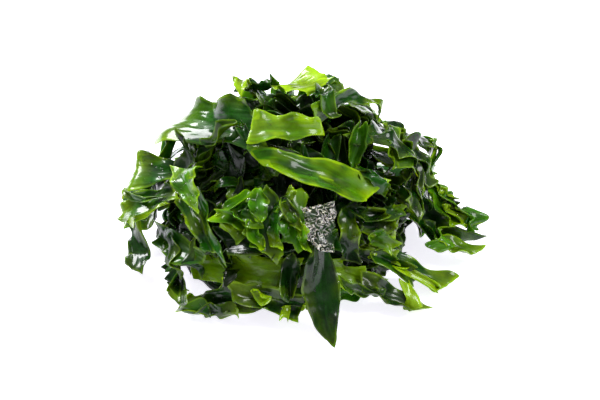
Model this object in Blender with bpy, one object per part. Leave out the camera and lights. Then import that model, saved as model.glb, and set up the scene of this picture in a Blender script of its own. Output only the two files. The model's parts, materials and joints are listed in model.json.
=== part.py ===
"""A heap of soaked, cut kelp, as it is tipped out on a table.

The heap is built the way it forms. Its middle is a packed tangle of short blades. Over it lie the
loose pieces, inner ones first. Each is a limp, wavy blade with a cut or torn outline, laid on a
smooth mound and then raised until it rests clear of all that lies under it.

A place on the heap is a bearing round it, in degrees as seen from above, with 0 at the right and
-90 at the front, and a distance down from the crown, measured along the mound in metres.
"""

import math
import random
from dataclasses import dataclass, replace

import bpy
import numpy as np
from mathutils.bvhtree import BVHTree

# The mound that the pieces follow, in metres
MOUND_RADIUS = 0.0515
MOUND_HEIGHT = 0.054
MOUND_POWER = 1.6
MOUND_FOOT = 0.008
FLOOR_REACH = 0.060
SIDEWAYS = 1.05
PROFILE_POINTS = 4000

# The blades
THICKNESS = 0.0007
GAP = 0.0005
NARROWEST = 0.0011
STEEPEST_DRAPED = 75
FEWEST_ROWS = 8
ROW_LENGTH = 0.0043
REFINE = 3
FINEST = 8
SAG_PASSES = 60
SAG = 0.00020
SHARP_ANGLE = 60

# Their outlines, as shares of a blade's width
LANCE_END = 0.05
LANCE_FULLNESS = 0.75
WEDGE_TAIL = 0.28
WEDGE_FULLNESS = 0.8
LOBES = 3
LOBE_WAIST = 0.36
LOBE_TAPER = 0.25
LOBE_LEAN = 0.35
STRAP_WIDTH = 0.86
STRAP_WAVE = 0.10
STRAP_WAVES = 1.2
TORN_WIDTH = 0.74
UNEVEN = {"lance": 0.05, "wedge": 0.08, "lobed": 0.05, "torn": 0.26, "strap": 0.05}
RAGGED = 0.12
NOTCH = 0.22
TAIL_SLANT = 0.7

# How fast a wave grows towards the margin, and the slant and the notch towards the ends
MARGIN_POWER = 1.5
END_POWER = 4

# The packed middle
MIDDLE_RADIUS = 0.043
MIDDLE_HEIGHT = 0.050
MIDDLE_FOOT = 0.004
MIDDLE_RIDGE = 0.0020
RIDGES_ROUND = (5, 3)
RIDGES_DOWN = (90, -150)
MIDDLE_ROUND = 30
MIDDLE_RINGS = 9
MIDDLE_COLUMNS = 2
MIDDLE_SINK = 0.0042
MIDDLE_LIFT = (0.005, 0.010)
MIDDLE_LONG = (0.020, 0.028)
MIDDLE_WIDE = (0.012, 0.017)
MIDDLE_FLANK = (0, 50)
MIDDLE_BEND = (-40, 40)
MIDDLE_WAVE = 0.0012
MIDDLE_SCATTER = 0.004

# The rings of blades on it: how far down from the crown, in metres, and how many
MIDDLE_BLADES = ((0.005, 3), (0.017, 6), (0.031, 10), (0.047, 16))

# Base colours, as red, green and blue from 0 to 1, of pieces by how thick and how old they are
GREENS = {
    "deep_green": (0.020, 0.055, 0.012),
    "leaf_green": (0.060, 0.145, 0.016),
    "bright_green": (0.130, 0.290, 0.022),
    "lime_green": (0.270, 0.440, 0.030),
}
WET_ROUGHNESS = 0.22


@dataclass
class Blade:
    """One cut piece. Lengths are in metres and turns in degrees.

    heading is its direction from straight downhill, anticlockwise as seen from outside the heap.
    left and right are how far each flank rises from the mound, at its tail and at its tip.
    """

    name: str
    bearing: float
    down: float
    heading: float
    long: float
    wide: float
    green: str = "leaf_green"
    edge: str = "strap"
    bend: float = 0.0
    left: tuple = (0.0, 0.0)
    right: tuple = (0.0, 0.0)
    curl: float = 0.0
    twist: float = 0.0
    wave: float = 0.0022
    waves: float = 2.2
    tail_lift: float = 0.0
    tip_lift: float = 0.0
    arch: float = 0.0
    slant: float = 0.5
    columns: int = 4

    @property
    def folds(self):
        """Whether part of it lies over another part."""
        steepest = max(map(abs, self.left + self.right)) + abs(self.curl) + abs(self.twist) / 2
        return steepest > STEEPEST_DRAPED

    @property
    def rows(self):
        """How many cells it has along its length, an even number."""
        return max(FEWEST_ROWS, 2 * round(self.long / ROW_LENGTH / 2))


# How the loose pieces are shaped: flanks, curl and twist in degrees, sizes in metres
HABITS = {
    "flat": dict(
        flank=(-15, 30), curl=(-15, 25), twist=(0, 20), wide=(0.018, 0.026), long=(0.034, 0.050),
        edges=("strap", "lance", "lobed", "torn", "wedge"),
    ),
    "trough": dict(
        flank=(25, 65), curl=(-10, 20), twist=(0, 30), wide=(0.018, 0.026), long=(0.034, 0.050),
        edges=("strap", "lance", "lobed", "torn", "wedge"),
    ),
    "twisted": dict(
        flank=(-10, 20), curl=(0, 30), twist=(60, 110), wide=(0.010, 0.014), long=(0.034, 0.050),
        edges=("strap", "lance", "torn"),
    ),
    "folded": dict(
        flank=(0, 25), curl=(0, 10), twist=(0, 20), wide=(0.018, 0.024), long=(0.032, 0.046),
        edges=("strap", "lance", "torn"),
    ),
}
FOLD_TAIL = (50, 80)
FOLD_TIP = (85, 110)
LOOSE_GREENS = ("deep_green", "leaf_green", "leaf_green", "bright_green")
LOOSE_BEND = (-50, 50)
LOOSE_LIFT = (0.0, 0.003)
LOOSE_WAVE = (0.0010, 0.0020)
LOOSE_WAVES = (1.2, 2.4)
HABIT_ORDER = ("flat", "trough", "twisted", "flat", "folded", "trough")
PLACES_TRIED = 14
DRAWS_TRIED = 16
CALMER = 0.93
SEED = 7

# The rings of loose pieces: name, how many, and between which distances down, headings and bearings
RINGS = (
    ("foot_blade", 10, (0.060, 0.072), (-75, 75), (-10, 190)),
    ("flank_blade", 6, (0.043, 0.058), (-180, 180), (0, 180)),
    ("shoulder_blade", 4, (0.025, 0.040), (-180, 180), (5, 175)),
)

# The pieces told apart in the photo, in the order in which they are laid
FRONT_BLADES = (
    Blade("bright_band", -113, 0.059, 100, 0.043, 0.015, "bright_green", left=(20, 10), right=(-10, 20)),
    Blade(
        "low_left_outer", -117, 0.074, -60, 0.026, 0.015, "deep_green", "torn", left=(10, 40), right=(30, 10),
    ),
    Blade("low_left_inner", -95, 0.070, 82, 0.031, 0.014, "deep_green", left=(10, 50), right=(40, 10)),
    Blade("front_low", -62, 0.063, 55, 0.026, 0.014, "bright_green", "lobed", left=(0, 20), right=(20, 30)),
    Blade(
        "right_low_near", -50, 0.078, 30, 0.028, 0.014, "deep_green", "torn", left=(30, 20), right=(30, 50),
    ),
    Blade("right_low_middle", -32, 0.074, 15, 0.032, 0.012, "leaf_green", left=(40, 20), right=(-10, 10)),
    Blade(
        "right_low_far", -14, 0.080, -5, 0.022, 0.015, "leaf_green", "wedge", left=(40, 10), right=(10, 40),
    ),
    Blade("left_hanging", -164, 0.078, 55, 0.024, 0.011, "deep_green", left=(0, 10), right=(10, 0)),
    Blade(
        "low_left_curl", -136, 0.070, 40, 0.027, 0.015, "deep_green", "torn", left=(40, 60), right=(40, 20),
    ),
    Blade("low_left_turn", -142, 0.060, 95, 0.027, 0.013, "leaf_green", left=(50, 20), right=(10, 30)),
    Blade("left_lime_tip", -163, 0.061, -15, 0.023, 0.010, "lime_green", "lance", tip_lift=0.003),
    Blade("left_tip", -160, 0.055, -20, 0.028, 0.012, "leaf_green", left=(10, 10), right=(30, 40)),
    Blade("far_right", -5, 0.074, -10, 0.021, 0.014, "bright_green", "torn", left=(30, 40), right=(10, 10)),
    Blade("right_lime", 18, 0.068, -30, 0.020, 0.012, "lime_green", "lobed", left=(40, 30), tip_lift=0.008),
    Blade("dark_cup", -98, 0.048, 95, 0.034, 0.016, "deep_green", left=(20, 10), right=(50, 70)),
    Blade("lime_middle", -46, 0.056, 72, 0.019, 0.010, "lime_green", left=(40, 10), right=(0, 40)),
    Blade("right_middle", -42, 0.047, 60, 0.024, 0.016, "deep_green", "lobed", left=(30, 50), right=(20, 0)),
    Blade("right_strap", -14, 0.048, -70, 0.026, 0.012, "deep_green", left=(50, 30), right=(30, 50)),
    Blade(
        "dark_arch", 20, 0.050, 15, 0.032, 0.011, "deep_green", left=(-20, -30), right=(20, 40), arch=0.006,
    ),
    Blade("curled_left", -127, 0.048, 40, 0.028, 0.016, "leaf_green", left=(50, 70), right=(40, 60)),
    Blade("lobes_left", -115, 0.037, 0, 0.023, 0.017, "leaf_green", "lobed", left=(30, 20), right=(20, 40)),
    Blade(
        "lobes_middle", -101, 0.040, 10, 0.025, 0.018, "leaf_green", "lobed", left=(40, 20), right=(10, 40),
    ),
    Blade(
        "lobes_right", -86, 0.038, -5, 0.023, 0.015, "bright_green", "lobed", left=(20, 40), right=(40, 10),
    ),
    Blade("front_lance", -77, 0.068, 0, 0.041, 0.014, "deep_green", "lance", left=(10, 40), right=(30, -10)),
    Blade("upright_strap", -58, 0.048, -12, 0.024, 0.009, "deep_green", left=(20, 30), right=(30, 10)),
    Blade("patched_square", -75, 0.042, -10, 0.016, 0.014, "deep_green", "torn", left=(10, 0), right=(0, 10)),
    Blade(
        "left_wing", -178, 0.045, -10, 0.025, 0.022, "leaf_green", "wedge", left=(-10, -10), right=(50, 50),
    ),
    Blade("wide_sheet", 174, 0.020, -25, 0.044, 0.026, "leaf_green", left=(-10, -10), right=(50, 50)),
    Blade("top_lobe", 125, 0.012, 10, 0.017, 0.012, "leaf_green", "torn", left=(20, 0), right=(30, 40)),
    Blade("top_lime_tip", 160, 0.008, -60, 0.013, 0.006, "lime_green", "lance", tip_lift=0.004),
    Blade("top_dark", 55, 0.017, 60, 0.017, 0.012, "deep_green", "torn", left=(20, 20), right=(50, 40)),
    Blade("curled_shoulder", -9, 0.034, -50, 0.021, 0.013, "leaf_green", left=(50, 30), right=(30, 60)),
    Blade(
        "sparkling", -142, 0.037, -120, 0.021, 0.016, "bright_green", "wedge", left=(10, 30), right=(10, 0),
    ),
    Blade("crown_cup", 60, 0.007, 75, 0.017, 0.023, "lime_green", left=(15, 15), right=(60, 60), slant=0.1),
    Blade("arched_strap", 16, 0.016, 15, 0.034, 0.006, "leaf_green", bend=-40, right=(-20, -30), arch=0.008),
    Blade("front_long", -66, 0.025, 52, 0.050, 0.024, "bright_green", "wedge", left=(10, 25), right=(40, 50)),
    Blade("light_flat", -90, 0.009, -84, 0.027, 0.015, "bright_green", "wedge", left=(0, 10), right=(10, 0)),
)


class Mound:
    """A rounded cone, turned about the upright axis, whose flank runs out smoothly on the floor."""

    STEP = 0.00025

    def __init__(self, radius, height, power, foot, reach):
        out = np.linspace(0, radius + reach, PROFILE_POINTS)
        flank = height * (1 - (out / radius) ** power)
        up = (flank + np.sqrt(flank**2 + 4 * foot**2)) / 2
        up -= up[-1]
        length = np.concatenate([[0.0], np.cumsum(np.hypot(np.diff(out), np.diff(up)))])
        self.down = np.arange(0, length[-1], self.STEP)
        self.out = np.interp(self.down, length, out)
        self.up = np.interp(self.down, length, up)
        run, rise = np.gradient(self.out), np.gradient(self.up)
        self.run, self.rise = run / np.hypot(run, rise), rise / np.hypot(run, rise)

    def place(self, bearing, down, off=0.0):
        """The points at these bearings, in radians, distances down and heights off the mound."""
        out = np.interp(down, self.down, self.out)
        up = np.interp(down, self.down, self.up)
        run = np.interp(down, self.down, self.run)
        rise = np.interp(down, self.down, self.rise)
        across = out - rise * off
        return np.stack([across * np.cos(bearing), across * np.sin(bearing), up + run * off], -1)

    def find(self, points):
        """Bearing, distance down and height off the mound of each point."""
        bearing = np.arctan2(points[..., 1], points[..., 0])
        across = np.hypot(points[..., 0], points[..., 1])
        up = points[..., 2]
        nearest = ((across[..., None] - self.out) ** 2 + (up[..., None] - self.up) ** 2).argmin(-1)
        away_out = across - self.out[nearest]
        away_up = up - self.up[nearest]
        run, rise = self.run[nearest], self.rise[nearest]
        return bearing, self.down[nearest] + away_out * run + away_up * rise, away_up * run - away_out * rise

    def normal(self, points):
        """The mound's outward direction under each point."""
        bearing, down, _ = self.find(points)
        return self.place(bearing, down, 1.0) - self.place(bearing, down, 0.0)


class Relief:
    """How high the heap stands off the mound so far, on a grid of cells round the crown."""

    CELL = 0.0012

    def __init__(self, mound):
        self.mound = mound
        self.centre = int(mound.down[-1] / self.CELL) + 3
        self.height = np.zeros((2 * self.centre + 1, 2 * self.centre + 1))

    def cells(self, bearing, down):
        """The cell that holds each place."""
        column = np.rint(down * np.cos(bearing) / self.CELL).astype(int) + self.centre
        row = np.rint(down * np.sin(bearing) / self.CELL).astype(int) + self.centre
        last = 2 * self.centre
        return np.clip(column, 0, last), np.clip(row, 0, last)

    def add(self, points, half_thickness):
        """Raises the relief to hold these points of a new piece."""
        bearing, down, off = self.mound.find(points.reshape(-1, 3))
        np.maximum.at(self.height, self.cells(bearing, down), off + half_thickness)

    def top(self, bearing, down):
        """The highest that the heap stands within a cell of each place."""
        padded = np.pad(self.height, 1, mode="edge")
        size = self.height.shape[0]
        shifted = [padded[i : i + size, j : j + size] for i in range(3) for j in range(3)]
        return np.max(shifted, axis=0)[self.cells(bearing, down)]


def unit(vectors):
    """The vectors at length 1."""
    return vectors / np.maximum(np.linalg.norm(vectors, axis=-1, keepdims=True), 1e-12)


def refined(grid, times):
    """A grid of points or numbers with each cell cut into this many along both ways."""
    for axis in (0, 1):
        grid = np.moveaxis(grid, axis, 0)
        at = np.linspace(0, len(grid) - 1, (len(grid) - 1) * times + 1)
        lower = np.minimum(at.astype(int), len(grid) - 2)
        share = (at - lower).reshape((-1,) + (1,) * (grid.ndim - 1))
        grid = np.moveaxis(grid[lower] * (1 - share) + grid[lower + 1] * share, 0, axis)
    return grid


def spine_of(mound, blade):
    """The blade's middle line on the mound: its points, and its directions along and off the mound."""
    bearing, heading = math.radians(blade.bearing), math.radians(blade.heading)
    middle = mound.place(bearing, blade.down)
    off = mound.normal(middle)
    round_heap = np.array([-math.sin(bearing), math.cos(bearing), 0.0])
    downhill = np.cross(round_heap, off)
    ahead = math.cos(heading) * downhill + math.sin(heading) * round_heap
    step = blade.long / blade.rows
    turn = math.radians(blade.bend) / blade.rows
    halves = []
    for way in (-1, 1):
        point, along = middle, way * ahead
        half = []
        for _ in range(blade.rows // 2):
            off = mound.normal(point)
            along = along * math.cos(turn) + way * np.cross(off, along) * math.sin(turn)
            bearing_next, down_next, _ = mound.find(point + along * step)
            following = mound.place(bearing_next, down_next)
            along = unit(following - point)
            point = point + along * step
            half.append(point)
        halves.append(half)
    points = np.array(halves[0][::-1] + [middle] + halves[1])
    off = mound.normal(points)
    along = unit(np.gradient(points, axis=0))
    off = unit(off - along * (off * along).sum(-1, keepdims=True))
    return points, along, off


def half_widths(blade, share, side, draw):
    """The blade's width to one side of its spine at each share of its length."""
    phase = draw.uniform(0, 1)
    uneven = np.array([draw.uniform(-1, 1) for _ in share])
    if blade.edge == "lance":
        width = np.sin(math.pi * (LANCE_END + (1 - 2 * LANCE_END) * share)) ** LANCE_FULLNESS
    elif blade.edge == "wedge":
        width = WEDGE_TAIL + (1 - WEDGE_TAIL) * share**WEDGE_FULLNESS
    elif blade.edge == "lobed":
        lobe = 2 * np.abs((LOBES * share + side / 4 + phase / 3) % 1 - 0.5)
        width = LOBE_WAIST + (1 - LOBE_WAIST) * lobe
        width = width * (1 - LOBE_TAPER + LOBE_TAPER * np.sin(math.pi * share))
    elif blade.edge == "torn":
        width = TORN_WIDTH
    else:
        width = STRAP_WIDTH + STRAP_WAVE * np.sin(2 * math.pi * (STRAP_WAVES * share + phase))
    width = width + UNEVEN[blade.edge] * uneven
    return np.maximum(blade.wide / 2 * width, NARROWEST)


def sheet_of(mound, blade, draw):
    """The blade's middle sheet, as rows of points across it from its tail to its tip."""
    points, along, off = spine_of(mound, blade)
    to_left = np.cross(off, along)
    rows, half = blade.rows, blade.columns // 2
    share = np.linspace(0, 1, rows + 1)
    side_way = np.zeros((rows + 1, blade.columns + 1))
    height = np.zeros_like(side_way)
    ahead = np.zeros_like(side_way)
    for side, flank in ((1, blade.left), (-1, blade.right)):
        width = half_widths(blade, share, side, draw)
        phase = draw.uniform(0, 2 * math.pi)
        slope = np.radians(flank[0] + (flank[1] - flank[0]) * share)
        ripple = np.sin(2 * math.pi * blade.waves * share + phase)
        ragged = np.array([draw.uniform(-1, 1) for _ in share])
        out, up = np.zeros(rows + 1), np.zeros(rows + 1)
        for k in range(1, half + 1):
            angle = slope + math.radians(blade.curl) * (k - 0.5) / half
            out = out + np.cos(angle) * width / half
            up = up + np.sin(angle) * width / half
            reach = k / half
            column = half + side * k
            side_way[:, column] = side * out
            height[:, column] = up + blade.wave * reach**MARGIN_POWER * ripple
            lean = LOBE_LEAN if blade.edge == "lobed" else 0.0
            ahead[:, column] = (lean + RAGGED * ragged) * width * reach
    slant = blade.slant * blade.wide / 2
    place = np.linspace(-1, 1, blade.columns + 1)
    ahead += slant * place * (share[:, None] ** END_POWER - TAIL_SLANT * (1 - share[:, None]) ** END_POWER)
    if blade.edge in ("torn", "strap"):
        notch = NOTCH * blade.wide * (1 - np.abs(place)) * draw.choice((-1, 0, 1, 1))
        ahead -= notch * share[:, None] ** END_POWER
    turn = np.radians(blade.twist * (share - 0.5))[:, None]
    side_way, height = (
        side_way * np.cos(turn) - height * np.sin(turn),
        side_way * np.sin(turn) + height * np.cos(turn),
    )
    height += blade.tail_lift * (1 - share[:, None]) ** 2 + blade.tip_lift * share[:, None] ** 2
    height += blade.arch * 4 * (share * (1 - share))[:, None]
    sheet = points[:, None] + along[:, None] * ahead[..., None]
    return sheet + to_left[:, None] * side_way[..., None] + off[:, None] * height[..., None]


def smoothed_sheet(values):
    """Numbers over a sheet, each drawn towards its neighbours along both ways."""
    for _ in range(2):
        padded = np.pad(values, ((1, 1), (0, 0)), mode="edge")
        values = ((padded[:-2] + 2 * values + padded[2:]) / 4).T
    return values


def widest_near(values, times):
    """The greatest of the refined numbers within one cell of each point of the coarse grid."""
    rows, columns = ((n - 1) // times + 1 for n in values.shape)
    padded = np.pad(values, times, mode="edge")
    span = 2 * times + 1
    return np.array(
        [
            [padded[times * i : times * i + span, times * j : times * j + span].max() for j in range(columns)]
            for i in range(rows)
        ]
    )


def laid(mound, relief, blade, sheet):
    """The sheet raised off the mound until it clears what the heap holds, sagging between.

    A piece that folds over itself is raised row by row, so that its layers stay apart.
    """
    bearing, down, off = mound.find(refined(sheet, REFINE))
    need = widest_near(relief.top(bearing, down) + THICKNESS / 2 + GAP - off, REFINE)
    if blade.folds:
        need = np.repeat(need.max(1, keepdims=True), need.shape[1], axis=1)
    raised = need
    for _ in range(SAG_PASSES):
        raised = np.maximum(need, smoothed_sheet(raised) - SAG)
    return sheet + mound.normal(sheet) * raised[..., None]


def plate(sheet, thickness):
    """Vertices and triangles of a closed plate about a sheet, split alike on both faces."""
    rows, columns = sheet.shape[0] - 1, sheet.shape[1] - 1
    off = unit(np.cross(np.gradient(sheet, axis=0), np.gradient(sheet, axis=1)))
    upper = (sheet + off * thickness / 2).reshape(-1, 3)
    lower = (sheet - off * thickness / 2).reshape(-1, 3)
    number = np.arange((rows + 1) * (columns + 1)).reshape(rows + 1, columns + 1)
    a, b = number[:-1, :-1].ravel(), number[1:, :-1].ravel()
    c, d = number[1:, 1:].ravel(), number[:-1, 1:].ravel()
    top = np.concatenate([np.stack([a, b, c], 1), np.stack([a, c, d], 1)])
    bottom = top[:, ::-1] + number.size
    rim = np.concatenate([number[:, 0], number[-1, 1:], number[-2::-1, -1], number[0, -2:0:-1]])
    following = np.roll(rim, -1)
    sides = np.concatenate(
        [
            np.stack([following, rim, rim + number.size], 1),
            np.stack([following, rim + number.size, following + number.size], 1),
        ]
    )
    return np.concatenate([upper, lower]), np.concatenate([top, bottom, sides])


def mesh_object(name, vertices, faces, green):
    """An object with this mesh and one of the four greens."""
    mesh = bpy.data.meshes.new(name)
    mesh.from_pydata([tuple(v) for v in vertices], [], [tuple(int(i) for i in f) for f in faces])
    mesh.shade_smooth()
    mesh.set_sharp_from_angle(angle=math.radians(SHARP_ANGLE))
    mesh.materials.append(green_material(green))
    made = bpy.data.objects.new(name, mesh)
    bpy.context.scene.collection.objects.link(made)
    return made


def green_material(green):
    """The wet green finish of this name, made once."""
    if green in bpy.data.materials:
        return bpy.data.materials[green]
    material = bpy.data.materials.new(green)
    material.use_nodes = True
    shader = material.node_tree.nodes["Principled BSDF"]
    shader.inputs["Base Color"].default_value = (*GREENS[green], 1.0)
    shader.inputs["Roughness"].default_value = WET_ROUGHNESS
    shader.inputs["Metallic"].default_value = 0.0
    material.diffuse_color = (*GREENS[green], 1.0)
    return material


def middle_core(inner):
    """The packed core: the inner mound, with folded ridges, on a flat foot."""
    turns = np.linspace(0, 2 * math.pi, MIDDLE_ROUND, endpoint=False)
    downs = np.linspace(0, np.interp(MIDDLE_RADIUS, inner.out, inner.down), MIDDLE_RINGS + 1)[1:]
    turn, down = np.meshgrid(turns, downs)
    ridge = np.sin(RIDGES_ROUND[0] * turn + RIDGES_DOWN[0] * down)
    ridge *= np.cos(RIDGES_ROUND[1] * turn + RIDGES_DOWN[1] * down)
    rings = inner.place(turn, down, MIDDLE_RIDGE * ridge)
    rings[-1, :, 2] = 0.0
    crown = inner.place(0.0, 0.0, 0.0)
    base = np.zeros(3)
    vertices = np.concatenate([rings.reshape(-1, 3), [crown, base]])
    number = np.arange(MIDDLE_RINGS * MIDDLE_ROUND).reshape(MIDDLE_RINGS, MIDDLE_ROUND)
    ahead = np.roll(number, -1, axis=1)
    faces = []
    for upper, lower, upper_ahead, lower_ahead in zip(number[:-1], number[1:], ahead[:-1], ahead[1:]):
        for quad in zip(upper, lower, lower_ahead, upper_ahead):
            faces += [quad[:3], (quad[0], quad[2], quad[3])]
    faces += [(number.size, i, j) for i, j in zip(number[0], ahead[0])]
    faces += [(j, i, number.size + 1) for i, j in zip(number[-1], ahead[-1])]
    return vertices, faces


def middle_blades(draw):
    """The short blades of the packed middle, in rings from its crown to its foot."""
    blades = []
    for down, count in MIDDLE_BLADES:
        for k in range(count):
            blades.append(
                Blade(
                    name=f"middle_{len(blades)}",
                    bearing=360 * (k + draw.uniform(0.1, 0.9)) / count,
                    down=down + draw.uniform(-MIDDLE_SCATTER, MIDDLE_SCATTER),
                    heading=draw.uniform(-180, 180),
                    long=draw.uniform(*MIDDLE_LONG),
                    wide=draw.uniform(*MIDDLE_WIDE),
                    edge=draw.choice(("strap", "wedge", "torn")),
                    left=(draw.uniform(*MIDDLE_FLANK), draw.uniform(*MIDDLE_FLANK)),
                    right=(draw.uniform(*MIDDLE_FLANK), draw.uniform(*MIDDLE_FLANK)),
                    bend=draw.uniform(*MIDDLE_BEND),
                    tail_lift=-MIDDLE_SINK,
                    tip_lift=draw.uniform(*MIDDLE_LIFT),
                    wave=MIDDLE_WAVE,
                    columns=MIDDLE_COLUMNS,
                )
            )
    return blades


def build_middle(relief, draw):
    """The packed middle as one body: its core, with its short blades sunk in and fused."""
    inner = Mound(MIDDLE_RADIUS, MIDDLE_HEIGHT, MOUND_POWER, MIDDLE_FOOT, FLOOR_REACH)
    vertices, faces = middle_core(inner)
    middle = mesh_object("packed_middle", vertices, faces, "deep_green")
    group = bpy.data.collections.new("middle blades")
    bpy.context.scene.collection.children.link(group)
    for blade in middle_blades(draw):
        sheet = sheet_of(inner, blade, draw)
        sheet[..., 2] = np.maximum(sheet[..., 2], THICKNESS)
        made = mesh_object(blade.name, *plate(sheet, THICKNESS), "deep_green")
        bpy.context.scene.collection.objects.unlink(made)
        group.objects.link(made)
    join = middle.modifiers.new("join", "BOOLEAN")
    join.operation = "UNION"
    join.operand_type = "COLLECTION"
    join.collection = group
    join.solver = "EXACT"
    graph = bpy.context.evaluated_depsgraph_get()
    fused = bpy.data.meshes.new_from_object(middle.evaluated_get(graph))
    middle.modifiers.clear()
    middle.data = fused
    for used in list(group.objects):
        bpy.data.objects.remove(used)
    bpy.data.collections.remove(group)
    fused.calc_loop_triangles()
    corners = np.array([[fused.vertices[i].co[:] for i in t.vertices] for t in fused.loop_triangles])
    relief.add(spread_over(corners, relief.CELL), 0.0)
    return middle


def spread_over(corners, spacing):
    """Points spread over triangles, no further apart than the spacing."""
    longest = np.linalg.norm(corners - np.roll(corners, 1, axis=1), axis=-1).max(1)
    spread = []
    for size in np.unique(np.ceil(longest / spacing).astype(int)):
        chosen = corners[np.ceil(longest / spacing).astype(int) == size]
        i, j = np.meshgrid(np.arange(size + 1), np.arange(size + 1))
        weights = np.stack([i, j, size - i - j], -1)[i + j <= size] / size
        spread.append(np.einsum("wk,tkx->twx", weights, chosen).reshape(-1, 3))
    return np.concatenate(spread)


def crosses_itself(vertices, faces):
    """Whether any two triangles of a plate that share no corner meet."""
    tree = BVHTree.FromPolygons([tuple(v) for v in vertices], [tuple(int(i) for i in f) for f in faces])
    return any(i < j and not set(faces[i]) & set(faces[j]) for i, j in tree.overlap(tree))


def span(line):
    """The length of a line of points."""
    return np.linalg.norm(np.diff(line, axis=0), axis=-1).sum()


def lie(mound, relief, blade, draw):
    """The sheet and the plate of a loose piece, on the heap as it stands.

    Raised off the rounded mound a piece spreads, so it is first tried and then drawn in to its size.
    """
    flat = sheet_of(mound, blade, draw)
    tried = laid(mound, relief, blade, flat)
    middle_row, middle_column = blade.rows // 2, blade.columns // 2
    spread_long = span(tried[:, middle_column]) / span(flat[:, middle_column])
    spread_wide = span(tried[middle_row]) / span(flat[middle_row])
    drawn_in = replace(blade, long=blade.long / spread_long, wide=blade.wide / spread_wide)
    sheet = laid(mound, relief, drawn_in, sheet_of(mound, drawn_in, draw))
    return sheet, plate(sheet, THICKNESS)


def drawn_blade(name, down, headings, draw, habit, bearings):
    """A piece of one habit, with its own draw of shape, somewhere in a ring round the heap."""
    ranges = HABITS[habit]
    flanks = [(draw.uniform(*ranges["flank"]), draw.uniform(*ranges["flank"])) for _ in range(2)]
    if habit == "folded":
        flanks[0] = (draw.uniform(*FOLD_TAIL), draw.uniform(*FOLD_TIP))
    return Blade(
        name=name,
        bearing=draw.uniform(*bearings),
        down=draw.uniform(*down),
        heading=draw.uniform(*headings),
        long=draw.uniform(*ranges["long"]),
        wide=draw.uniform(*ranges["wide"]),
        green=draw.choice(LOOSE_GREENS),
        edge=draw.choice(ranges["edges"]),
        bend=draw.uniform(*LOOSE_BEND),
        left=flanks[0],
        right=flanks[1],
        curl=draw.uniform(*ranges["curl"]),
        twist=draw.choice((-1, 1)) * draw.uniform(*ranges["twist"]),
        tip_lift=draw.uniform(*LOOSE_LIFT),
        wave=draw.uniform(*LOOSE_WAVE),
        waves=draw.uniform(*LOOSE_WAVES),
    )


def lowest_first(mound, relief, blades):
    """These pieces, in order of how low each would lie on the heap as it stands."""

    def height(blade):
        points, _, _ = spine_of(mound, blade)
        bearing, down, _ = mound.find(points)
        return relief.top(bearing, down).mean()

    return sorted(blades, key=height)


def build_loose_blades(mound, relief, rings, draw):
    """The loose pieces of these rings. Each is the lowest of several drawn that doesn't cross itself."""
    made = []
    for name, count, down, headings, bearings in rings:
        for k in range(count):
            habit = HABIT_ORDER[k % len(HABIT_ORDER)]
            label = f"{name}_{k + 1:02d}"
            tried = [drawn_blade(label, down, headings, draw, habit, bearings) for _ in range(PLACES_TRIED)]
            for blade in lowest_first(mound, relief, tried):
                sheet, (vertices, faces) = lie(mound, relief, blade, draw)
                if not crosses_itself(vertices, faces):
                    break
            relief.add(refined(sheet, FINEST), THICKNESS / 2)
            made.append(mesh_object(blade.name, vertices, faces, blade.green))
    return made


def flattened(blade, share):
    """The same piece with its flanks and waves brought down to this share."""
    left = tuple(share * flank for flank in blade.left)
    right = tuple(share * flank for flank in blade.right)
    return replace(blade, left=left, right=right, wave=share * blade.wave)


def build_front_blades(mound, relief, draw):
    """The pieces told apart in the photo, laid in order, each a little flatter while it crosses itself."""
    made = []
    for blade in FRONT_BLADES:
        for tries in range(DRAWS_TRIED):
            sheet, (vertices, faces) = lie(mound, relief, flattened(blade, CALMER**tries), draw)
            if not crosses_itself(vertices, faces):
                break
        relief.add(refined(sheet, FINEST), THICKNESS / 2)
        made.append(mesh_object(blade.name, vertices, faces, blade.green))
    return made


def settle(objects):
    """Spreads the heap a little sideways, and moves it so that its bounding box is over the origin."""
    corners = np.array([v.co[:] for made in objects for v in made.data.vertices])
    middle = (corners.min(0) + corners.max(0)) / 2
    for made in objects:
        for vertex in made.data.vertices:
            vertex.co.x = (vertex.co.x - middle[0]) * SIDEWAYS
            vertex.co.y -= middle[1]


def main():
    for old in list(bpy.data.objects):
        bpy.data.objects.remove(old)
    draw = random.Random(SEED)
    mound = Mound(MOUND_RADIUS, MOUND_HEIGHT, MOUND_POWER, MOUND_FOOT, FLOOR_REACH)
    relief = Relief(mound)
    made = [build_middle(relief, draw)]
    made += build_loose_blades(mound, relief, RINGS, draw)
    made += build_front_blades(mound, relief, draw)
    settle(made)


main()
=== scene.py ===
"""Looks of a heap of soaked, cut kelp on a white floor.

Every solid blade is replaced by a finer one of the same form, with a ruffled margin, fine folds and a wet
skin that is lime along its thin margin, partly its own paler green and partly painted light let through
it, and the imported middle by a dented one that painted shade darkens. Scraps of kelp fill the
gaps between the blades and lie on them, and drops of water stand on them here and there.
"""

import json
import math
import random

from dataclasses import dataclass

import bmesh
import bpy
import numpy as np
from bpy.props import FloatProperty, FloatVectorProperty, IntProperty, PointerProperty
from mathutils import Matrix, Vector
from mathutils.bvhtree import BVHTree
from mathutils.kdtree import KDTree


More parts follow.
